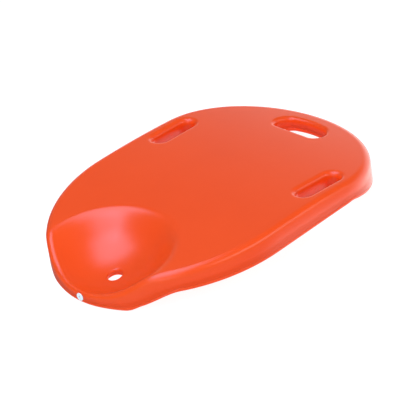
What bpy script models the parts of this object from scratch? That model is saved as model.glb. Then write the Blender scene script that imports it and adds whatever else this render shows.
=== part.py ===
"""Short resuscitation board: two moulded skins round a foam core, closed by a vent plug.

The board lies on its feet, with z = 0 on the floor. +X runs from the head end to the foot end,
and the board is the same on both sides of y = 0. Lengths are metres.
"""
import math

import bmesh
import bpy
from mathutils import Matrix, Vector
from mathutils.geometry import delaunay_2d_cdt

# Outline: a half ellipse round the head, straight sides, and a half ellipse round the foot end.
LENGTH = 0.610
WIDTH = 0.426
HEAD_CENTRE_X = -0.049
FOOT_CENTRE_X = 0.125

# Deck: an arch along the board with a round dish for the head.
CROWN_X = -0.040
CROWN_HEIGHT = 0.077
ARCH_RADIUS = 2.13
DISH_X = -0.243
DISH_RADIUS = 0.138
DISH_FLOOR = 0.0088
DISH_BLEND = 0.024

# Underside: flat feet, with a raised finger bay along each side and one at the foot end.
SIDE_BAY_HEIGHT = 0.030
SIDE_BAY_Y = 0.080
SIDE_BAY_HEAD_X = -0.293
SIDE_BAY_FOOT_X = 0.241
HEAD_SLOPE = 0.072          # length of the side bays' slope at the head end
FOOT_SLOPE = 0.100          # length of their slope at the foot end
END_BAY_HEIGHT = 0.025
END_BAY_X = 0.193
END_BAY_HALF_WIDTH = 0.085
BAY_SLOPE = 0.024           # width of every other slope

# Moulding.
WALL = 0.0025
GAP = 0.0003
TOP_EDGE_RADIUS = 0.013
BASE_EDGE_RADIUS = 0.007
TOP_EDGE_SHARE = 0.36       # an edge's radius is at most this share of the rim's height
BASE_EDGE_SHARE = 0.25
STEEPEST_START = math.radians(35)   # a rounding begins no steeper than this below level
SEAM_RISE = 0.0012          # height of the base's own wall above its rounded edge
ARC_STEPS = 3

# Openings: centre, half sizes of the tube along and across it, how far one side of it swells
# outward, how far it is turned, and the radii of its edges on the deck and on the base.
SIDE_SLOT = {
    "x": 0.100, "y": 0.1710, "half_length": 0.047, "half_width": 0.0145, "swell": 0.0,
    "turn": 0.03, "lip": 0.010, "base_lip": 0.005,
}
END_SLOT = {
    "x": 0.242, "y": 0.0, "half_length": 0.053, "half_width": 0.0175, "swell": 0.010,
    "turn": math.pi / 2, "lip": 0.008, "base_lip": 0.008,
}
DRAIN_HOLE = {
    "x": -0.225, "y": 0.0, "half_length": 0.0135, "half_width": 0.0115, "swell": 0.0,
    "turn": 0.0, "lip": 0.003, "base_lip": 0.003,
}

# Vent plug on the head tip.
PLUG_HEIGHT = 0.012
PLUG_FLANGE_RADIUS = 0.0070
PLUG_FLANGE_DEPTH = 0.0015
PLUG_STEM_RADIUS = 0.0035
PLUG_STEM_LENGTH = 0.0075
PLUG_RECESS_RADIUS = 0.0020
PLUG_RECESS_DEPTH = 0.004
PLUG_SIDES = 24

# How finely the sheets are divided.
FINE_SPACING = 0.014
COARSE_EVERY = 3
BEND_LIMIT = 0.0002
EDGE_CLEARANCE = 0.0075
ELLIPSE_STEPS = 28
STRAIGHT_STEPS = 6
SLOT_END_STEPS = 8
SLOT_SIDE_STEPS = 4
WELD_DISTANCE = 0.00001
SLOPE_STEP = 0.0005

HALF_LENGTH = LENGTH / 2
HALF_WIDTH = WIDTH / 2


def clear_scene():
    for old in list(bpy.data.objects):
        bpy.data.objects.remove(old, do_unlink=True)


def material(name, colour, roughness):
    made = bpy.data.materials.new(name)
    made.use_nodes = True
    shader = made.node_tree.nodes["Principled BSDF"]
    shader.inputs["Base Color"].default_value = (*colour, 1.0)
    shader.inputs["Roughness"].default_value = roughness
    shader.inputs["Metallic"].default_value = 0.0
    return made


def add_object(name, bm, paint, parent):
    mesh = bpy.data.meshes.new(name)
    bm.to_mesh(mesh)
    bm.free()
    mesh.shade_smooth()
    mesh.set_sharp_from_angle(angle=math.radians(40))
    mesh.materials.append(paint)
    made = bpy.data.objects.new(name, mesh)
    bpy.context.collection.objects.link(made)
    made.parent = parent
    return made


# ---- heights -------------------------------------------------------------------------------

def smooth_min(first, second, blend):
    overlap = max(blend - abs(first - second), 0.0) / blend
    return min(first, second) - overlap * overlap * blend / 4


def deck_height(x, y):
    arch = CROWN_HEIGHT - ARCH_RADIUS + math.sqrt(ARCH_RADIUS ** 2 - (x - CROWN_X) ** 2)
    reach = min(math.hypot(x - DISH_X, y), DISH_RADIUS)
    dish = DISH_FLOOR + DISH_RADIUS - math.sqrt(DISH_RADIUS ** 2 - reach ** 2)
    return smooth_min(arch, dish, DISH_BLEND)


def ramp(distance, width):
    """Goes evenly from 0 to 1 as the distance grows from 0 to the width of a slope."""
    return min(max(distance / width, 0.0), 1.0)


def rise(distance, width):
    """Goes from 0 to 1 over the same width, but smoothly."""
    share = ramp(distance, width)
    return share * share * (3 - 2 * share)


def base_height(x, y):
    along = rise(x - SIDE_BAY_HEAD_X, HEAD_SLOPE) * ramp(SIDE_BAY_FOOT_X - x, FOOT_SLOPE)
    side = along * rise(abs(y) - SIDE_BAY_Y, BAY_SLOPE)
    end = rise(x - END_BAY_X, BAY_SLOPE) * rise(END_BAY_HALF_WIDTH - abs(y), BAY_SLOPE)
    return max(SIDE_BAY_HEIGHT * side, END_BAY_HEIGHT * end)


# ---- loops ---------------------------------------------------------------------------------

def outline():
    """Points round the board's edge with their outward directions, anticlockwise."""
    points = []
    ends = (
        (FOOT_CENTRE_X, HALF_LENGTH - FOOT_CENTRE_X, -math.pi / 2),
        (HEAD_CENTRE_X, HALF_LENGTH + HEAD_CENTRE_X, math.pi / 2),
    )
    for centre_x, reach, first_angle in ends:
        for step in range(ELLIPSE_STEPS + 1):
            angle = first_angle + math.pi * step / ELLIPSE_STEPS
            x = centre_x + reach * math.cos(angle)
            y = HALF_WIDTH * math.sin(angle)
            outward = Vector((math.cos(angle) / reach, math.sin(angle) / HALF_WIDTH)).normalized()
            points.append((Vector((x, y)), outward))
        side = math.copysign(1.0, points[-1][0].y)
        for step in range(1, STRAIGHT_STEPS):
            run = (FOOT_CENTRE_X - HEAD_CENTRE_X) * step / STRAIGHT_STEPS
            x = FOOT_CENTRE_X - run if side > 0 else HEAD_CENTRE_X + run
            points.append((Vector((x, side * HALF_WIDTH)), Vector((0.0, side))))
    return points


def slot_loop(slot, side):
    """Points round a slot's tube, clockwise, with the directions that lead into the opening."""
    straight = slot["half_length"] - slot["half_width"]
    points = []
    for end in (1.0, -1.0):
        for step in range(SLOT_END_STEPS + 1):
            angle = end * math.pi / 2 - math.pi * step / SLOT_END_STEPS
            ray = Vector((math.cos(angle), math.sin(angle)))
            points.append(Vector((straight * end, 0.0)) + ray * slot["half_width"])
        for step in range(1, SLOT_SIDE_STEPS):
            run = straight * end * (1 - 2 * step / SLOT_SIDE_STEPS)
            points.append(Vector((run, -end * slot["half_width"])))
    turn = Matrix.Rotation(slot["turn"] * side, 2)
    centre = Vector((slot["x"], slot["y"] * side))
    points = [centre + turn @ swollen(point, slot) for point in points]
    loop = []
    for before, point, after in zip(points[-1:] + points, points, points[1:] + points[:1]):
        run = (after - before).normalized()
        loop.append((point, Vector((run.y, -run.x))))
    return loop


def swollen(point, slot):
    """Moves a point on the lower side of a slot outward, most at the middle of that side."""
    share = max(-point.y / slot["half_width"], 0.0)
    middle = 1 - (point.x / slot["half_length"]) ** 2
    return Vector((point.x, point.y - slot["swell"] * share * middle))


def rounded_border(loop, height, radii, upward):
    """Rings from the edge of a sheet, round an arc that follows on from it, to a vertical wall."""
    rings = [[] for _ in range(ARC_STEPS + 1)]
    for (place, direction), reach in zip(loop, radii):
        inner = place - direction * reach
        before = inner - direction * SLOPE_STEP
        level = height(inner.x, inner.y)
        slope = upward * (level - height(before.x, before.y)) / SLOPE_STEP
        start = max(math.atan(slope), -STEEPEST_START)
        radius = reach / (1 + math.sin(start))
        for step, ring in enumerate(rings):
            angle = start - (start + math.pi / 2) * step / ARC_STEPS
            spot = inner + direction * (radius * (math.sin(start) - math.sin(angle)))
            lift = radius * (math.cos(angle) - math.cos(start))
            ring.append(Vector((spot.x, spot.y, level + upward * lift)))
    return rings


# ---- sheets --------------------------------------------------------------------------------

def inside(x, y, ring):
    crossings = 0
    for first, second in zip(ring, ring[1:] + ring[:1]):
        if (first.y > y) != (second.y > y):
            crossing_x = first.x + (y - first.y) * (second.x - first.x) / (second.y - first.y)
            crossings += crossing_x > x
    return crossings % 2 == 1


def clear_of_ring(x, y, ring):
    spot = Vector((x, y))
    for first, second in zip(ring, ring[1:] + ring[:1]):
        start = first.to_2d()
        run = second.to_2d() - start
        share = min(max((spot - start).dot(run) / run.length_squared, 0.0), 1.0)
        if (start + run * share - spot).length < EDGE_CLEARANCE:
            return False
    return True


def spread_points(height, rings):
    """Grid points for a sheet: close together where it bends and far apart where it doesn't."""
    points = []
    along = round(HALF_LENGTH / FINE_SPACING)
    across = round(HALF_WIDTH / FINE_SPACING)
    for i in range(-along, along + 1):
        for j in range(-across, across + 1):
            x = i * FINE_SPACING
            y = j * FINE_SPACING
            level = height(x, y)
            bend_x = height(x + FINE_SPACING, y) + height(x - FINE_SPACING, y) - 2 * level
            bend_y = height(x, y + FINE_SPACING) + height(x, y - FINE_SPACING) - 2 * level
            coarse = i % COARSE_EVERY == 0 and j % COARSE_EVERY == 0
            if not coarse and abs(bend_x) + abs(bend_y) < BEND_LIMIT:
                continue
            if in_sheet(x, y, rings) and all(clear_of_ring(x, y, ring) for ring in rings):
                points.append(Vector((x, y)))
    return points


def in_sheet(x, y, rings):
    return inside(x, y, rings[0]) and not any(inside(x, y, ring) for ring in rings[1:])


def add_sheet(bm, height, borders, upward):
    """Adds a sheet inside the first border and outside the others, and each border's strips."""
    rings = [border[0] for border in borders]
    flat = [point.to_2d() for ring in rings for point in ring]
    levels = [point.z for ring in rings for point in ring]
    edges = []
    for ring in rings:
        start = len(edges)
        edges += [(start + i, start + (i + 1) % len(ring)) for i in range(len(ring))]
    flat += spread_points(height, rings)
    points, _, triangles, sources, _, _ = delaunay_2d_cdt(flat, edges, [], 0, WELD_DISTANCE)
    made = []
    ring_verts = {}
    for point, source in zip(points, sources):
        on_ring = [index for index in source if index < len(levels)]
        level = levels[on_ring[0]] if on_ring else height(point.x, point.y)
        made.append(bm.verts.new((point.x, point.y, level)))
        for index in on_ring:
            ring_verts[index] = made[-1]
    for triangle in triangles:
        centre = sum((points[i] for i in triangle), Vector((0.0, 0.0))) / 3
        if in_sheet(centre.x, centre.y, rings):
            corners = [made[i] for i in triangle]
            bm.faces.new(corners if upward > 0 else corners[::-1])
    bmesh.ops.delete(bm, geom=[vert for vert in made if not vert.link_faces], context="VERTS")
    start = 0
    for border in borders:
        count = len(border[0])
        previous = [ring_verts[start + i] for i in range(count)]
        for ring in border[1:]:
            current = [bm.verts.new(point) for point in ring]
            for i in range(count):
                j = (i + 1) % count
                corners = [previous[i], current[i], current[j], previous[j]]
                bm.faces.new(corners if upward > 0 else corners[::-1])
            previous = current
        start += count


def edges():
    """Each edge's loop, with the radii of its rounding on the deck and on the base."""
    rim = outline()
    deck_radii = edge_radii(rim, TOP_EDGE_RADIUS, TOP_EDGE_SHARE)
    base_radii = edge_radii(rim, BASE_EDGE_RADIUS, BASE_EDGE_SHARE)
    found = [(rim, deck_radii, base_radii)]
    for slot, side in ((SIDE_SLOT, 1.0), (SIDE_SLOT, -1.0), (END_SLOT, 1.0), (DRAIN_HOLE, 1.0)):
        loop = slot_loop(slot, side)
        found.append((loop, [slot["lip"]] * len(loop), [slot["base_lip"]] * len(loop)))
    return found


def edge_radii(loop, largest, share):
    """How far in the rounding of the board's edge begins at each point: less where the rim is low."""
    radii = []
    for place, direction in loop:
        inner = place - direction * BASE_EDGE_RADIUS
        radii.append(min(largest, share * deck_height(inner.x, inner.y)))
    return radii


def raised(ring, distance):
    return [Vector((point.x, point.y, point.z + distance)) for point in ring]


def base_border(loop, radii):
    """The base's rings at one edge: a rounding, then a short wall up to the seam."""
    rings = rounded_border(loop, base_height, radii, -1.0)
    rings.append(raised(rings[-1], SEAM_RISE))
    return rings


def deck_border(loop, radii, base_radii, gap):
    """The deck's rings at one edge: a rounding, then the wall down to the seam."""
    rings = rounded_border(loop, deck_height, radii, 1.0)
    rings.append(raised(base_border(loop, base_radii)[-1], gap))
    return rings


def add_deck_sheet(bm, gap):
    """The deck, its rounded edge and wall, and the upper part of each opening's tube."""
    add_sheet(bm, deck_height, [deck_border(*edge, gap) for edge in edges()], 1.0)


def add_base_sheet(bm):
    """The underside with its rounded edges, up to the seam."""
    borders = [base_border(loop, base_radii) for loop, _, base_radii in edges()]
    add_sheet(bm, base_height, borders, -1.0)


# ---- parts ---------------------------------------------------------------------------------

def add_plug_cutter(name, radius, depth):
    """A drill along the plug's axis, from outside the head tip to a depth inside it."""
    bm = bmesh.new()
    outside = PLUG_FLANGE_RADIUS
    bmesh.ops.create_cone(
        bm, cap_ends=True, segments=PLUG_SIDES, radius1=radius, radius2=radius,
        depth=outside + depth,
    )
    mesh = bpy.data.meshes.new(name)
    bm.to_mesh(mesh)
    bm.free()
    cutter = bpy.data.objects.new(name, mesh)
    bpy.context.collection.objects.link(cutter)
    cutter.location = (-HALF_LENGTH + (depth - outside) / 2, 0.0, PLUG_HEIGHT)
    cutter.rotation_euler = (0.0, math.pi / 2, 0.0)
    cutter.hide_render = True
    cutter.display_type = "WIRE"
    return cutter


def thicken(part):
    skin = part.modifiers.new("wall", "SOLIDIFY")
    skin.thickness = WALL
    skin.offset = -1.0


def drill(part, cutter):
    cut = part.modifiers.new("plug_hole", "BOOLEAN")
    cut.operation = "DIFFERENCE"
    cut.solver = "EXACT"
    cut.object = cutter


def add_deck_shell(parent, orange):
    bm = bmesh.new()
    add_deck_sheet(bm, GAP)
    deck = add_object("deck_shell", bm, orange, parent)
    thicken(deck)
    drill(deck, add_plug_cutter("plug_hole_drill", PLUG_STEM_RADIUS + GAP, 2 * WALL))


def add_base_shell(parent, orange):
    bm = bmesh.new()
    add_base_sheet(bm)
    thicken(add_object("base_shell", bm, orange, parent))


def add_foam_core(parent, foam):
    """The filling: the board's whole outer surface moved inward by a wall and a gap."""
    bm = bmesh.new()
    add_deck_sheet(bm, 0.0)
    add_base_sheet(bm)
    bmesh.ops.remove_doubles(bm, verts=bm.verts, dist=WELD_DISTANCE)
    bm.normal_update()
    moves = [(vert, vert.normal * (WALL + GAP)) for vert in bm.verts]
    for vert, move in moves:
        vert.co -= move
    core = add_object("foam_core", bm, foam, parent)
    depth = PLUG_STEM_LENGTH + WALL / 2
    drill(core, add_plug_cutter("plug_pocket_drill", PLUG_STEM_RADIUS + 2 * GAP, depth))


def add_vent_plug(parent, white):
    """A turned plug: flange, stem, and a recess in its face. Its axis is the object's Z."""
    profile = (
        (0.0, PLUG_FLANGE_DEPTH - PLUG_RECESS_DEPTH),
        (PLUG_RECESS_RADIUS, PLUG_FLANGE_DEPTH - PLUG_RECESS_DEPTH),
        (PLUG_RECESS_RADIUS, PLUG_FLANGE_DEPTH),
        (PLUG_FLANGE_RADIUS - PLUG_FLANGE_DEPTH / 2, PLUG_FLANGE_DEPTH),
        (PLUG_FLANGE_RADIUS, PLUG_FLANGE_DEPTH / 2),
        (PLUG_FLANGE_RADIUS, 0.0),
        (PLUG_STEM_RADIUS, 0.0),
        (PLUG_STEM_RADIUS, -PLUG_STEM_LENGTH),
        (0.0, -PLUG_STEM_LENGTH),
    )
    bm = bmesh.new()
    verts = [bm.verts.new((radius, 0.0, level)) for radius, level in profile]
    edges = [bm.edges.new(pair) for pair in zip(verts, verts[1:])]
    bmesh.ops.spin(
        bm, geom=verts + edges, cent=(0.0, 0.0, 0.0), axis=(0.0, 0.0, 1.0),
        angle=2 * math.pi, steps=PLUG_SIDES, use_merge=True,
    )
    bmesh.ops.remove_doubles(bm, verts=bm.verts, dist=WELD_DISTANCE)
    bmesh.ops.recalc_face_normals(bm, faces=bm.faces)
    plug = add_object("vent_plug", bm, white, parent)
    plug.location = (-HALF_LENGTH - GAP, 0.0, PLUG_HEIGHT)
    plug.rotation_euler = (0.0, -math.pi / 2, 0.0)


def main():
    clear_scene()
    board = bpy.data.objects.new("board", None)
    bpy.context.collection.objects.link(board)
    orange = material("orange_plastic", (0.85, 0.10, 0.03), 0.3)
    foam = material("cream_foam", (0.80, 0.70, 0.45), 0.9)
    white = material("white_plastic", (0.85, 0.85, 0.83), 0.4)
    add_deck_shell(board, orange)
    add_base_shell(board, orange)
    add_foam_core(board, foam)
    add_vent_plug(board, white)


main()
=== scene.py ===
"""Looks of the short resuscitation board: fine skins, foam and plug, and a plain pale studio.

The board lies on its feet, with z = 0 on the floor. +X runs from the head end to the foot end,
and the board is the same on both sides of y = 0. Lengths are metres.
"""
import math

import bmesh
import bpy
import numpy as np
from mathutils import Matrix, Vector
from mathutils.geometry import delaunay_2d_cdt
from mathutils.kdtree import KDTree


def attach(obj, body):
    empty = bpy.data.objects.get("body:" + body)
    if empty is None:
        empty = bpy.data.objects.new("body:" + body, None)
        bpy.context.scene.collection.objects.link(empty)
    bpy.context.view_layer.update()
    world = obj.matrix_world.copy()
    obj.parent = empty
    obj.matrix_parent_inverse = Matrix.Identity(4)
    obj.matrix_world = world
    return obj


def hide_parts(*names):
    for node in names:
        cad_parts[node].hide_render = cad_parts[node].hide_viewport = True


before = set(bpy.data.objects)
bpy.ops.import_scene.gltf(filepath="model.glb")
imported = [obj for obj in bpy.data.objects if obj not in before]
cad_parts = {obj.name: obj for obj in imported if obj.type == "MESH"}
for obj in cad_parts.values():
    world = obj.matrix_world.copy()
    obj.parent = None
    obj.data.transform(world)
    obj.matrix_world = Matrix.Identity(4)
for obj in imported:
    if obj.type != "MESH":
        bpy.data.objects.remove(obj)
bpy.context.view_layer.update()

# ---- camera --------------------------------------------------------------------------------

SENSOR = 36.0               # its width, in millimetres as the lens is
LENS = 214.23
AZIMUTH = math.radians(-41.674)     # from the -Y side, with minus towards the head end
ELEVATION = math.radians(31.121)
ROLL = math.radians(8.640)
DISTANCE = 4.1932
TARGET = Vector((-0.00948, -0.01047, 0.030))

# ---- studio --------------------------------------------------------------------------------

FLOOR_REACH = 9.0           # how far the floor runs each way
FLOOR_DROP = 0.0002         # how far the floor lies below the board's feet
FLOOR_GLOW = 0.92
ROOM_LIGHT = 0.18           # strength of the world all round
BACKDROP_LIGHT = 2.1        # and where it is brightest, low beyond the foot end
BACKDROP_AZIMUTH = math.radians(5)
BACKDROP_EDGE = 0.35        # cosine of the angle from the backdrop's middle where it begins
BACKDROP_CORE = 0.90        # and where it reaches its full strength
BACKDROP_TOP = 0.46         # height on the unit sphere where it begins, coming down
BACKDROP_BOTTOM = 0.05      # and where it reaches its full strength

# ---- shape of the board, as in its CAD source ----------------------------------------------

LENGTH = 0.610
WIDTH = 0.426
HEAD_CENTRE_X = -0.049
FOOT_CENTRE_X = 0.125

# Deck: an arch along the board with a round dish for the head.
CROWN_X = -0.040
CROWN_HEIGHT = 0.077
ARCH_RADIUS = 2.13
DISH_X = -0.243
DISH_RADIUS = 0.138
DISH_FLOOR = 0.0088
DISH_BLEND = 0.024

# Underside: flat feet, with a raised finger bay along each side and one at the foot end.
SIDE_BAY_HEIGHT = 0.030
SIDE_BAY_Y = 0.080
SIDE_BAY_HEAD_X = -0.293
SIDE_BAY_FOOT_X = 0.241
HEAD_SLOPE = 0.072          # length of the side bays' slope at the head end
FOOT_SLOPE = 0.100          # length of their slope at the foot end
END_BAY_HEIGHT = 0.025
END_BAY_X = 0.193
END_BAY_HALF_WIDTH = 0.085
BAY_SLOPE = 0.024           # width of every other slope

# Moulding.
WALL = 0.0025
GAP = 0.0003
TOP_EDGE_RADIUS = 0.013
BASE_EDGE_RADIUS = 0.007
TOP_EDGE_SHARE = 0.36       # an edge's radius is at most this share of the rim's height
BASE_EDGE_SHARE = 0.25
STEEPEST_START = math.radians(35)   # a rounding begins no steeper than this below level
SEAM_RISE = 0.0012          # height of the base's own wall above its rounded edge
FOAM_DEPTH = 0.0033         # how far the foam lies below the skins' outer faces
FOAM_EDGE_RADIUS = 0.0003   # the foam's edges are rounded at least this much

# Openings: centre, half sizes of the tube along and across it, how far one side of it swells
# outward, how far it is turned, and the radii of its edges on the deck and on the base.
SIDE_SLOT = {
    "x": 0.100, "y": 0.1710, "half_length": 0.047, "half_width": 0.0145, "swell": 0.0,
    "turn": 0.03, "lip": 0.010, "base_lip": 0.005,
}
END_SLOT = {
    "x": 0.242, "y": 0.0, "half_length": 0.053, "half_width": 0.0175, "swell": 0.010,
    "turn": math.pi / 2, "lip": 0.008, "base_lip": 0.008,
}
DRAIN_HOLE = {
    "x": -0.225, "y": 0.0, "half_length": 0.0135, "half_width": 0.0115, "swell": 0.0,
    "turn": 0.0, "lip": 0.003, "base_lip": 0.003,
}

# Vent plug on the head tip.
PLUG_HEIGHT = 0.012
PLUG_FLANGE_RADIUS = 0.0070
PLUG_FLANGE_DEPTH = 0.0015
PLUG_STEM_RADIUS = 0.0035
PLUG_STEM_LENGTH = 0.0075
PLUG_RECESS_RADIUS = 0.0020
PLUG_RECESS_DEPTH = 0.004

# ---- how finely the skins are divided ------------------------------------------------------

ELLIPSE_STEPS = 84
STRAIGHT_STEPS = 20
SLOT_END_STEPS = 24
SLOT_SIDE_STEPS = 12
ARC_STEPS = 10
GRID_SPACING = 0.005
RIM_CLEARANCE = 0.0030      # grid points nearer to an edge than this are left out
LEAD_IN = 0.0012            # ring on the sheet just before an edge begins to round over
WELD_DISTANCE = 0.000001
SLOPE_STEP = 0.0005         # distance over which a sheet's slope is measured
PLUG_SIDES = 64
PLUG_BEVEL_STEPS = 5
PLUG_SHARP_ANGLE = math.radians(35)
FLATNESS = 0.2              # two triangles become a quad if they turn less than this, in radians
SQUARENESS = 0.3            # and if the quad's corners are this close to square, in radians

HALF_LENGTH = LENGTH / 2
HALF_WIDTH = WIDTH / 2


def smooth_min(first, second, blend):
    """The lower of two heights, rounded where they cross."""
    overlap = max(blend - abs(first - second), 0.0) / blend
    return min(first, second) - overlap * overlap * blend / 4


def deck_height(x, y):
    arch = CROWN_HEIGHT - ARCH_RADIUS + math.sqrt(ARCH_RADIUS ** 2 - (x - CROWN_X) ** 2)
    reach = min(math.hypot(x - DISH_X, y), DISH_RADIUS)
    dish = DISH_FLOOR + DISH_RADIUS - math.sqrt(DISH_RADIUS ** 2 - reach ** 2)
    return smooth_min(arch, dish, DISH_BLEND)


def ramp(distance, width):
    """Goes evenly from 0 to 1 as the distance grows from 0 to the width of a slope."""
    return min(max(distance / width, 0.0), 1.0)


def rise(distance, width):
    """Goes from 0 to 1 over the same width, but smoothly."""
    share = ramp(distance, width)
    return share * share * (3 - 2 * share)


def base_height(x, y):
    along = rise(x - SIDE_BAY_HEAD_X, HEAD_SLOPE) * ramp(SIDE_BAY_FOOT_X - x, FOOT_SLOPE)
    side = along * rise(abs(y) - SIDE_BAY_Y, BAY_SLOPE)
    end = rise(x - END_BAY_X, BAY_SLOPE) * rise(END_BAY_HALF_WIDTH - abs(y), BAY_SLOPE)
    return max(SIDE_BAY_HEIGHT * side, END_BAY_HEIGHT * end)


# ---- loops ---------------------------------------------------------------------------------

def outline():
    """Points round the board's edge with their outward directions, anticlockwise."""
    points = []
    ends = (
        (FOOT_CENTRE_X, HALF_LENGTH - FOOT_CENTRE_X, -math.pi / 2),
        (HEAD_CENTRE_X, HALF_LENGTH + HEAD_CENTRE_X, math.pi / 2),
    )
    for centre_x, reach, first_angle in ends:
        for step in range(ELLIPSE_STEPS + 1):
            angle = first_angle + math.pi * step / ELLIPSE_STEPS
            x = centre_x + reach * math.cos(angle)
            y = HALF_WIDTH * math.sin(angle)
            outward = Vector((math.cos(angle) / reach, math.sin(angle) / HALF_WIDTH)).normalized()
            points.append((Vector((x, y)), outward))
        side = math.copysign(1.0, points[-1][0].y)
        for step in range(1, STRAIGHT_STEPS):
            run = (FOOT_CENTRE_X - HEAD_CENTRE_X) * step / STRAIGHT_STEPS
            x = FOOT_CENTRE_X - run if side > 0 else HEAD_CENTRE_X + run
            points.append((Vector((x, side * HALF_WIDTH)), Vector((0.0, side))))
    return points


def slot_loop(slot, side):
    """Points round a slot's tube, clockwise, with the directions that lead into the opening."""
    straight = slot["half_length"] - slot["half_width"]
    points = []
    for end in (1.0, -1.0):
        for step in range(SLOT_END_STEPS + 1):
            angle = end * math.pi / 2 - math.pi * step / SLOT_END_STEPS
            ray = Vector((math.cos(angle), math.sin(angle)))
            points.append(Vector((straight * end, 0.0)) + ray * slot["half_width"])
        for step in range(1, SLOT_SIDE_STEPS):
            run = straight * end * (1 - 2 * step / SLOT_SIDE_STEPS)
            points.append(Vector((run, -end * slot["half_width"])))
    turn = Matrix.Rotation(slot["turn"] * side, 2)
    centre = Vector((slot["x"], slot["y"] * side))
    points = [centre + turn @ swollen(point, slot) for point in points]
    loop = []
    for before, point, after in zip(points[-1:] + points, points, points[1:] + points[:1]):
        run = (after - before).normalized()
        loop.append((point, Vector((run.y, -run.x))))
    return loop


def swollen(point, slot):
    """Moves a point on the lower side of a slot outward, most at the middle of that side."""
    share = max(-point.y / slot["half_width"], 0.0)
    middle = 1 - (point.x / slot["half_length"]) ** 2
    return Vector((point.x, point.y - slot["swell"] * share * middle))


def rounded_border(loop, height, radii, upward):
    """Rings from the edge of a sheet, round an arc that follows on from it, to a vertical wall."""
    lead = []
    rings = [[] for _ in range(ARC_STEPS + 1)]
    for (place, direction), reach in zip(loop, radii):
        spot = place - direction * (reach + LEAD_IN)
        lead.append(Vector((spot.x, spot.y, height(spot.x, spot.y))))
        inner = place - direction * reach
        before = inner - direction * SLOPE_STEP
        level = height(inner.x, inner.y)
        slope = upward * (level - height(before.x, before.y)) / SLOPE_STEP
        start = max(math.atan(slope), -STEEPEST_START)
        radius = reach / (1 + math.sin(start))
        for step, ring in enumerate(rings):
            angle = start - (start + math.pi / 2) * step / ARC_STEPS
            spot = inner + direction * (radius * (math.sin(start) - math.sin(angle)))
            lift = radius * (math.cos(angle) - math.cos(start))
            ring.append(Vector((spot.x, spot.y, level + upward * lift)))
    return [lead] + rings


# ---- sheets --------------------------------------------------------------------------------

def inside(spots, ring):
    """Which of the spots lie inside a closed ring."""
    first = np.array([(point.x, point.y) for point in ring])
    second = np.roll(first, -1, axis=0)
    x = spots[:, :1]
    y = spots[:, 1:]
    spans = (first[:, 1] > y) != (second[:, 1] > y)
    height = np.where(first[:, 1] == second[:, 1], 1.0, second[:, 1] - first[:, 1])
    crossing = first[:, 0] + (y - first[:, 1]) * (second[:, 0] - first[:, 0]) / height
    return (spans & (crossing > x)).sum(axis=1) % 2 == 1


def in_sheet(spots, rings):
    """Which of the spots lie inside the first ring and outside the others."""
    kept = inside(spots, rings[0])
    for ring in rings[1:]:
        kept &= ~inside(spots, ring)
    return kept


def spread_points(rings):
    """Grid points inside a sheet, clear of its edges."""
    along = np.arange(-HALF_LENGTH, HALF_LENGTH, GRID_SPACING)
    across = np.arange(-HALF_WIDTH, HALF_WIDTH, GRID_SPACING)
    spots = np.array([(x, y) for x in along for y in across])
    spots = spots[in_sheet(spots, rings)]
    ring_points = [point for ring in rings for point in ring]
    tree = KDTree(len(ring_points))
    for index, point in enumerate(ring_points):
        tree.insert((point.x, point.y, 0.0), index)
    tree.balance()
    return [Vector(spot) for spot in spots if tree.find((*spot, 0.0))[2] > RIM_CLEARANCE]


def add_sheet(bm, height, borders, upward):
    """Adds a sheet inside the first border and outside the others, and each border's strips."""
    rings = [border[0] for border in borders]
    flat = [point.to_2d() for ring in rings for point in ring]
    levels = [point.z for ring in rings for point in ring]
    sides = []
    for ring in rings:
        start = len(sides)
        sides += [(start + i, start + (i + 1) % len(ring)) for i in range(len(ring))]
    flat += spread_points(rings)
    points, _, triangles, sources, _, _ = delaunay_2d_cdt(flat, sides, [], 0, WELD_DISTANCE)
    made = []
    ring_verts = {}
    for point, source in zip(points, sources):
        on_ring = [index for index in source if index < len(levels)]
        level = levels[on_ring[0]] if on_ring else height(point.x, point.y)
        made.append(bm.verts.new((point.x, point.y, level)))
        for index in on_ring:
            ring_verts[index] = made[-1]
    corners = np.array([[points[i] for i in triangle] for triangle in triangles])
    faces = []
    for triangle, kept in zip(triangles, in_sheet(corners.mean(axis=1), rings)):
        if kept:
            verts = [made[i] for i in triangle]
            faces.append(bm.faces.new(verts if upward > 0 else verts[::-1]))
    bmesh.ops.join_triangles(
        bm, faces=faces, angle_face_threshold=FLATNESS, angle_shape_threshold=SQUARENESS,
    )
    bmesh.ops.delete(bm, geom=[vert for vert in made if not vert.link_faces], context="VERTS")
    start = 0
    for border in borders:
        count = len(border[0])
        add_strips(bm, [ring_verts[start + i] for i in range(count)], border[1:], upward)
        start += count


def add_strips(bm, previous, rings, upward):
    """Adds a strip of faces from the previous ring's vertices to each of the rings in turn."""
    for ring in rings:
        current = [bm.verts.new(point) for point in ring]
        for i in range(len(ring)):
            j = (i + 1) % len(ring)
            quad = [previous[i], current[i], current[j], previous[j]]
            bm.faces.new(quad if upward > 0 else quad[::-1])
        previous = current


def edges():
    """Each edge's loop, with the radii of its rounding on the deck and on the base."""
    rim = outline()
    deck_radii = edge_radii(rim, TOP_EDGE_RADIUS, TOP_EDGE_SHARE)
    base_radii = edge_radii(rim, BASE_EDGE_RADIUS, BASE_EDGE_SHARE)
    found = [(rim, deck_radii, base_radii)]
    for slot, side in ((SIDE_SLOT, 1.0), (SIDE_SLOT, -1.0), (END_SLOT, 1.0), (DRAIN_HOLE, 1.0)):
        loop = slot_loop(slot, side)
        found.append((loop, [slot["lip"]] * len(loop), [slot["base_lip"]] * len(loop)))
    return found


def edge_radii(loop, largest, share):
    """How far in the rounding of the board's edge begins at each point: less where the rim is low."""
    radii = []
    for place, direction in loop:
        inner = place - direction * BASE_EDGE_RADIUS
        radii.append(min(largest, share * deck_height(inner.x, inner.y)))
    return radii


def raised(ring, distance):
    """A copy of a ring, moved up."""
    return [Vector((point.x, point.y, point.z + distance)) for point in ring]


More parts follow.
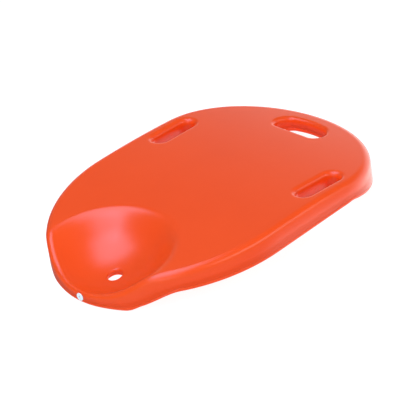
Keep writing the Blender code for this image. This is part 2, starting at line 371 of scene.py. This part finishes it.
def base_border(loop, radii):
    """The base's rings at one edge: a rounding, then a short wall up to the seam."""
    rings = rounded_border(loop, base_height, radii, -1.0)
    rings.append(raised(rings[-1], SEAM_RISE))
    return rings


def deck_border(loop, radii, base_radii):
    """The deck's rings at one edge: a rounding, then the wall down to the seam."""
    rings = rounded_border(loop, deck_height, radii, 1.0)
    rings.append(raised(base_border(loop, base_radii)[-1], GAP))
    return rings


# ---- pieces --------------------------------------------------------------------------------

def add_piece(name, bm, paint, nodes):
    """Adds a mesh as a piece that stands for CAD nodes, and gives it the paint it is handed."""
    mesh = bpy.data.meshes.new(name)
    bm.to_mesh(mesh)
    bm.free()
    mesh.shade_smooth()
    mesh.materials.append(paint)
    piece = bpy.data.objects.new(name, mesh)
    bpy.context.collection.objects.link(piece)
    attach(piece, "root")
    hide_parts(*nodes)
    return piece


def thicken(piece):
    """Gives a sheet its wall, on its inner side."""
    skin = piece.modifiers.new("wall", "SOLIDIFY")
    skin.thickness = WALL
    skin.offset = -1.0


def plug_place():
    """Where the plug sits: flat on the wall at the head tip, with its axis along the board."""
    place = Matrix.Translation((-HALF_LENGTH - GAP, 0.0, PLUG_HEIGHT))
    return place @ Matrix.Rotation(-math.pi / 2, 4, "Y")


def drill(piece, radius, depth):
    """Cuts a round hole for the plug's stem, and leaves the piece as a plain mesh."""
    bm = bmesh.new()
    bmesh.ops.create_cone(
        bm, cap_ends=True, segments=PLUG_SIDES, radius1=radius, radius2=radius, depth=2 * depth,
    )
    bmesh.ops.transform(bm, matrix=plug_place(), verts=bm.verts)
    mesh = bpy.data.meshes.new("drill")
    bm.to_mesh(mesh)
    bm.free()
    cutter = bpy.data.objects.new("drill", mesh)
    bpy.context.collection.objects.link(cutter)
    cut = piece.modifiers.new("plug_hole", "BOOLEAN")
    cut.object = cutter
    cut.solver = "EXACT"
    finished = piece.evaluated_get(bpy.context.evaluated_depsgraph_get())
    drilled = bpy.data.meshes.new_from_object(finished)
    piece.modifiers.clear()
    piece.data = drilled
    bpy.data.objects.remove(cutter)


def add_deck_skin(paint):
    bm = bmesh.new()
    add_sheet(bm, deck_height, [deck_border(*edge) for edge in edges()], 1.0)
    skin = add_piece("deck_skin", bm, paint, ["deck_shell"])
    thicken(skin)
    drill(skin, PLUG_STEM_RADIUS + GAP, PLUG_STEM_LENGTH)


def add_base_skin(paint):
    bm = bmesh.new()
    borders = [base_border(loop, base_radii) for loop, _, base_radii in edges()]
    add_sheet(bm, base_height, borders, -1.0)
    thicken(add_piece("base_skin", bm, paint, ["base_shell"]))


def foam_radii(radii):
    """The foam's roundings under the skins' roundings."""
    return [max(radius - FOAM_DEPTH, FOAM_EDGE_RADIUS) for radius in radii]


def foam_top(x, y):
    return deck_height(x, y) - FOAM_DEPTH * stretch(deck_height, x, y)


def foam_bottom(x, y):
    return base_height(x, y) + FOAM_DEPTH * stretch(base_height, x, y)


def stretch(height, x, y):
    """How much deeper a layer on a sloping sheet is when it is measured upright."""
    along = (height(x + SLOPE_STEP, y) - height(x - SLOPE_STEP, y)) / (2 * SLOPE_STEP)
    across = (height(x, y + SLOPE_STEP) - height(x, y - SLOPE_STEP)) / (2 * SLOPE_STEP)
    return math.sqrt(1 + along ** 2 + across ** 2)


def add_foam_filling(paint):
    """One closed body of foam, a little clear of the inner faces of both skins."""
    tops = []
    bottoms = []
    for loop, deck_radii, base_radii in edges():
        inner = [(place - direction * FOAM_DEPTH, direction) for place, direction in loop]
        bottom = rounded_border(inner, foam_bottom, foam_radii(base_radii), -1.0)
        bottom.append(raised(bottom[-1], SEAM_RISE))
        top = rounded_border(inner, foam_top, foam_radii(deck_radii), 1.0)
        top.append(bottom[-1])
        tops.append(top)
        bottoms.append(bottom)
    bm = bmesh.new()
    add_sheet(bm, foam_top, tops, 1.0)
    add_sheet(bm, foam_bottom, bottoms, -1.0)
    bmesh.ops.remove_doubles(bm, verts=bm.verts, dist=WELD_DISTANCE)
    filling = add_piece("foam_filling", bm, paint, ["foam_core"])
    drill(filling, PLUG_STEM_RADIUS + GAP, PLUG_STEM_LENGTH + GAP)


def add_turned(bm, profile):
    """Adds the surface that a profile sweeps round the Z axis. Both its ends lie on the axis."""
    turns = [2 * math.pi * step / PLUG_SIDES for step in range(PLUG_SIDES)]
    rings = []
    for radius, level in profile:
        if radius > 0.0:
            places = [(radius * math.cos(turn), radius * math.sin(turn), level) for turn in turns]
            rings.append([bm.verts.new(place) for place in places])
        else:
            rings.append([bm.verts.new((0.0, 0.0, level))] * PLUG_SIDES)
    for previous, current in zip(rings, rings[1:]):
        for i in range(PLUG_SIDES):
            j = (i + 1) % PLUG_SIDES
            quad = [previous[i], current[i], current[j], previous[j]]
            bm.faces.new(list(dict.fromkeys(quad)))     # on the axis two corners are one vertex


def add_plug(paint):
    """A turned plug with a rounded flange and a recess in its face."""
    face = PLUG_FLANGE_DEPTH
    floor = face - PLUG_RECESS_DEPTH
    bevel = PLUG_FLANGE_DEPTH / 2
    lip = PLUG_RECESS_RADIUS / 4
    profile = [(0.0, floor), (PLUG_RECESS_RADIUS - lip, floor), (PLUG_RECESS_RADIUS, floor + lip)]
    for step in range(PLUG_BEVEL_STEPS + 1):
        angle = math.pi / 2 * step / PLUG_BEVEL_STEPS
        radius = PLUG_RECESS_RADIUS + lip * (1 - math.cos(angle))
        profile.append((radius, face - lip * (1 - math.sin(angle))))
    for step in range(PLUG_BEVEL_STEPS + 1):
        angle = math.pi / 2 * step / PLUG_BEVEL_STEPS
        radius = PLUG_FLANGE_RADIUS - bevel * (1 - math.sin(angle))
        profile.append((radius, face - bevel * (1 - math.cos(angle))))
    profile.append((PLUG_FLANGE_RADIUS, 0.0))
    profile.append((PLUG_STEM_RADIUS, 0.0))
    profile.append((PLUG_STEM_RADIUS, -PLUG_STEM_LENGTH))
    profile.append((0.0, -PLUG_STEM_LENGTH))
    bm = bmesh.new()
    add_turned(bm, profile)
    bmesh.ops.transform(bm, matrix=plug_place(), verts=bm.verts)
    plug = add_piece("vent_plug_face", bm, paint, ["vent_plug"])
    plug.data.set_sharp_from_angle(angle=PLUG_SHARP_ANGLE)


# ---- materials -----------------------------------------------------------------------------

NOISE_LOW = 0.3             # most of a noise's values lie between these two
NOISE_HIGH = 0.7

DEEP_ORANGE = (0.93, 0.064, 0.005)
BRIGHT_ORANGE = (0.96, 0.069, 0.006)
PALE_ORANGE = (0.90, 0.14, 0.04)
DULL_WHITE = (0.80, 0.82, 0.80)
CLEAN_WHITE = (0.88, 0.89, 0.87)
DARK_CREAM = (0.58, 0.46, 0.24)
PALE_CREAM = (0.80, 0.70, 0.46)
DARK_GREY = (0.20, 0.20, 0.20)
MID_GREY = (0.24, 0.24, 0.24)
PURE_WHITE = (1.0, 1.0, 1.0, 1.0)


class Paint:
    """A node material round one Principled shader, with short ways to add its usual nodes."""

    def __init__(self, name, **values):
        self.material = bpy.data.materials.new(name)
        self.material.use_nodes = True
        self.nodes = self.material.node_tree.nodes
        self.links = self.material.node_tree.links
        self.shader = self.nodes["Principled BSDF"]
        for key, value in values.items():
            self.shader.inputs[key.replace("_", " ")].default_value = value
        self.place = self.nodes.new("ShaderNodeTexCoord").outputs["Object"]

    def noise(self, scale, detail, stretch=None):
        """Cloudy noise, from 0 to 1 at its widest. A larger scale gives finer clouds."""
        source = self.place
        if stretch:
            mapping = self.nodes.new("ShaderNodeMapping")
            mapping.inputs["Scale"].default_value = stretch
            self.links.new(source, mapping.inputs["Vector"])
            source = mapping.outputs["Vector"]
        made = self.nodes.new("ShaderNodeTexNoise")
        made.inputs["Scale"].default_value = scale
        made.inputs["Detail"].default_value = detail
        self.links.new(source, made.inputs["Vector"])
        return made.outputs["Fac"]

    def spread(self, source, to_low, to_high, low=NOISE_LOW, high=NOISE_HIGH):
        """Maps the source's values between low and high onto those between to_low and to_high."""
        made = self.nodes.new("ShaderNodeMapRange")
        values = {"From Min": low, "From Max": high, "To Min": to_low, "To Max": to_high}
        for key, value in values.items():
            made.inputs[key].default_value = value
        self.links.new(source, made.inputs["Value"])
        return made.outputs["Result"]

    def mix(self, share, first, second):
        """Mixes two colours, each a tuple or another node's output."""
        made = self.nodes.new("ShaderNodeMix")
        made.data_type = "RGBA"
        sockets = {socket.identifier: socket for socket in made.inputs}
        self.links.new(share, sockets["Factor_Float"])
        for key, colour in (("A_Color", first), ("B_Color", second)):
            if isinstance(colour, tuple):
                sockets[key].default_value = (*colour, 1.0)
            else:
                self.links.new(colour, sockets[key])
        return next(socket for socket in made.outputs if socket.identifier == "Result_Color")

    def bump(self, source, depth, strength, under=None):
        """Raises the surface with the source, on top of another bump if one is given."""
        made = self.nodes.new("ShaderNodeBump")
        made.inputs["Distance"].default_value = depth
        made.inputs["Strength"].default_value = strength
        self.links.new(source, made.inputs["Height"])
        if under is not None:
            self.links.new(under, made.inputs["Normal"])
        return made.outputs["Normal"]

    def colour(self, source):
        self.links.new(source, self.shader.inputs["Base Color"])

    def roughness(self, source):
        self.links.new(source, self.shader.inputs["Roughness"])

    def normal(self, source):
        self.links.new(source, self.shader.inputs["Normal"])


def orange_plastic():
    """Glossy moulded polyethylene: faint mottling and pale specks, a fine skin, and uneven gloss.

    The gloss varies little, because denoising leaves streaks where the roughness crosses 0.27.
    """
    paint = Paint("moulded_orange_plastic", Specular_IOR_Level=0.40)
    cloud = paint.spread(paint.noise(scale=7.0, detail=4.0), 0.0, 1.0)
    mottled = paint.mix(cloud, DEEP_ORANGE, BRIGHT_ORANGE)
    speck = paint.spread(paint.noise(scale=420.0, detail=2.0), 0.0, 0.03, low=0.62, high=0.75)
    paint.colour(paint.mix(speck, mottled, PALE_ORANGE))
    marks = paint.noise(scale=40.0, detail=3.0, stretch=(1.0, 3.0, 1.0))
    paint.roughness(paint.spread(marks, 0.285, 0.310))
    peel = paint.bump(paint.noise(scale=500.0, detail=2.0), depth=0.00001, strength=0.05)
    waves = paint.noise(scale=9.0, detail=1.0)
    paint.normal(paint.bump(waves, depth=0.0006, strength=0.06, under=peel))
    return paint.material


def white_plastic():
    """White plastic with a faint grain."""
    paint = Paint("turned_white_plastic")
    cloud = paint.noise(scale=300.0, detail=3.0)
    paint.colour(paint.mix(paint.spread(cloud, 0.0, 1.0), DULL_WHITE, CLEAN_WHITE))
    paint.roughness(paint.spread(cloud, 0.32, 0.42))
    grain = paint.noise(scale=900.0, detail=2.0)
    paint.normal(paint.bump(grain, depth=0.00004, strength=0.4))
    return paint.material


def foam():
    """Cream polyurethane foam with open cells."""
    paint = Paint("cream_foam", Specular_IOR_Level=0.2)
    cells = paint.noise(scale=380.0, detail=4.0)
    tone = paint.spread(cells, 0.0, 1.0, low=0.35, high=0.65)
    paint.colour(paint.mix(tone, DARK_CREAM, PALE_CREAM))
    paint.roughness(paint.spread(cells, 0.8, 0.95))
    paint.normal(paint.bump(cells, depth=0.0006, strength=0.8))
    return paint.material


def pale_floor():
    """A floor that is almost white by its own glow, so that the board's shadow on it is faint."""
    paint = Paint("pale_floor", Emission_Color=PURE_WHITE, Emission_Strength=FLOOR_GLOW)
    cloud = paint.noise(scale=3.0, detail=2.0)
    paint.colour(paint.mix(cloud, DARK_GREY, MID_GREY))
    paint.roughness(paint.spread(cloud, 0.85, 0.95))
    return paint.material


# ---- camera, floor and lights --------------------------------------------------------------

def add_camera():
    """A long lens that looks down on the board from beyond its head end, on the side of -Y."""
    back = Vector((
        math.sin(AZIMUTH) * math.cos(ELEVATION),
        -math.cos(AZIMUTH) * math.cos(ELEVATION),
        math.sin(ELEVATION),
    ))
    right = Vector((math.cos(AZIMUTH), math.sin(AZIMUTH), 0.0))
    up = back.cross(right)
    across = right * math.cos(ROLL) - up * math.sin(ROLL)
    above = right * math.sin(ROLL) + up * math.cos(ROLL)
    data = bpy.data.cameras.new("camera")
    data.lens = LENS
    data.sensor_width = SENSOR
    camera = bpy.data.objects.new("camera", data)
    axes = Matrix((across, above, back)).transposed().to_4x4()
    camera.matrix_world = Matrix.Translation(TARGET + back * DISTANCE) @ axes
    bpy.context.collection.objects.link(camera)
    bpy.context.scene.camera = camera


def add_floor():
    """A plain floor that the board's gloss doesn't pick up, so that its walls keep their colour."""
    bm = bmesh.new()
    bmesh.ops.create_grid(bm, x_segments=4, y_segments=4, size=FLOOR_REACH)
    mesh = bpy.data.meshes.new("floor")
    bm.to_mesh(mesh)
    bm.free()
    mesh.materials.append(pale_floor())
    floor = bpy.data.objects.new("floor", mesh)
    floor.location = (0.0, 0.0, -FLOOR_DROP)
    floor.visible_glossy = False
    bpy.context.collection.objects.link(floor)


def add_light(name, azimuth, elevation, distance, size, watts, colour):
    """A soft rectangular light, aimed at the board's middle, with its azimuth in degrees from +X."""
    angle = math.radians(azimuth)
    tilt = math.radians(elevation)
    level = math.cos(tilt)
    away = Vector((math.cos(angle) * level, math.sin(angle) * level, math.sin(tilt)))
    data = bpy.data.lights.new(name, "AREA")
    data.shape = "RECTANGLE"
    data.size = size[0]
    data.size_y = size[1]
    data.energy = watts
    data.color = colour
    light = bpy.data.objects.new(name, data)
    light.location = away * distance
    light.rotation_mode = "QUATERNION"
    light.rotation_quaternion = away.to_track_quat("Z", "Y")
    light.visible_camera = False
    bpy.context.collection.objects.link(light)


def add_world():
    """Dim all round, with a bright backdrop low beyond the foot end."""
    world = bpy.data.worlds.new("studio")
    world.use_nodes = True
    nodes = world.node_tree.nodes
    links = world.node_tree.links
    direction = nodes.new("ShaderNodeTexCoord").outputs["Generated"]
    beyond = nodes.new("ShaderNodeVectorMath")
    beyond.operation = "DOT_PRODUCT"
    beyond.inputs[1].default_value = (math.cos(BACKDROP_AZIMUTH), math.sin(BACKDROP_AZIMUTH), 0.0)
    links.new(direction, beyond.inputs[0])
    axes = nodes.new("ShaderNodeSeparateXYZ")
    links.new(direction, axes.inputs["Vector"])
    ranges = (
        (beyond.outputs["Value"], BACKDROP_EDGE, BACKDROP_CORE),
        (axes.outputs["Z"], BACKDROP_TOP, BACKDROP_BOTTOM),
    )
    shares = []
    for source, low, high in ranges:
        share = nodes.new("ShaderNodeMapRange")
        share.interpolation_type = "SMOOTHSTEP"
        share.inputs["From Min"].default_value = low
        share.inputs["From Max"].default_value = high
        links.new(source, share.inputs["Value"])
        shares.append(share.outputs["Result"])
    backdrop = nodes.new("ShaderNodeMath")
    backdrop.operation = "MULTIPLY"
    for share, socket in zip(shares, backdrop.inputs):
        links.new(share, socket)
    strength = nodes.new("ShaderNodeMapRange")
    strength.inputs["To Min"].default_value = ROOM_LIGHT
    strength.inputs["To Max"].default_value = BACKDROP_LIGHT
    links.new(backdrop.outputs["Value"], strength.inputs["Value"])
    links.new(strength.outputs["Result"], nodes["Background"].inputs["Strength"])
    nodes["Background"].inputs["Color"].default_value = PURE_WHITE
    bpy.context.scene.world = world


def add_studio():
    """Floor, world and lights, seen without a film look."""
    bpy.context.scene.view_settings.view_transform = "Standard"
    add_world()
    add_floor()
    add_light(
        "overhead", azimuth=150.0, elevation=74.0, distance=2.2, size=(1.7, 1.7), watts=37.0,
        colour=(0.71, 0.88, 1.32),
    )
    add_light(
        "camera_side", azimuth=-160.0, elevation=52.0, distance=2.4, size=(1.5, 1.5), watts=21.0,
        colour=(0.47, 0.88, 1.34),
    )
    add_light(
        "front", azimuth=-75.0, elevation=29.0, distance=2.6, size=(2.6, 0.7), watts=22.0,
        colour=(0.82, 1.0, 0.95),
    )
    add_light(
        "head_side", azimuth=-150.0, elevation=15.0, distance=3.0, size=(2.0, 1.0), watts=15.0,
        colour=(0.70, 1.0, 1.10),
    )


def main():
    plastic = orange_plastic()
    add_deck_skin(plastic)
    add_base_skin(plastic)
    add_plug(white_plastic())
    add_foam_filling(foam())
    add_camera()
    add_studio()


main()
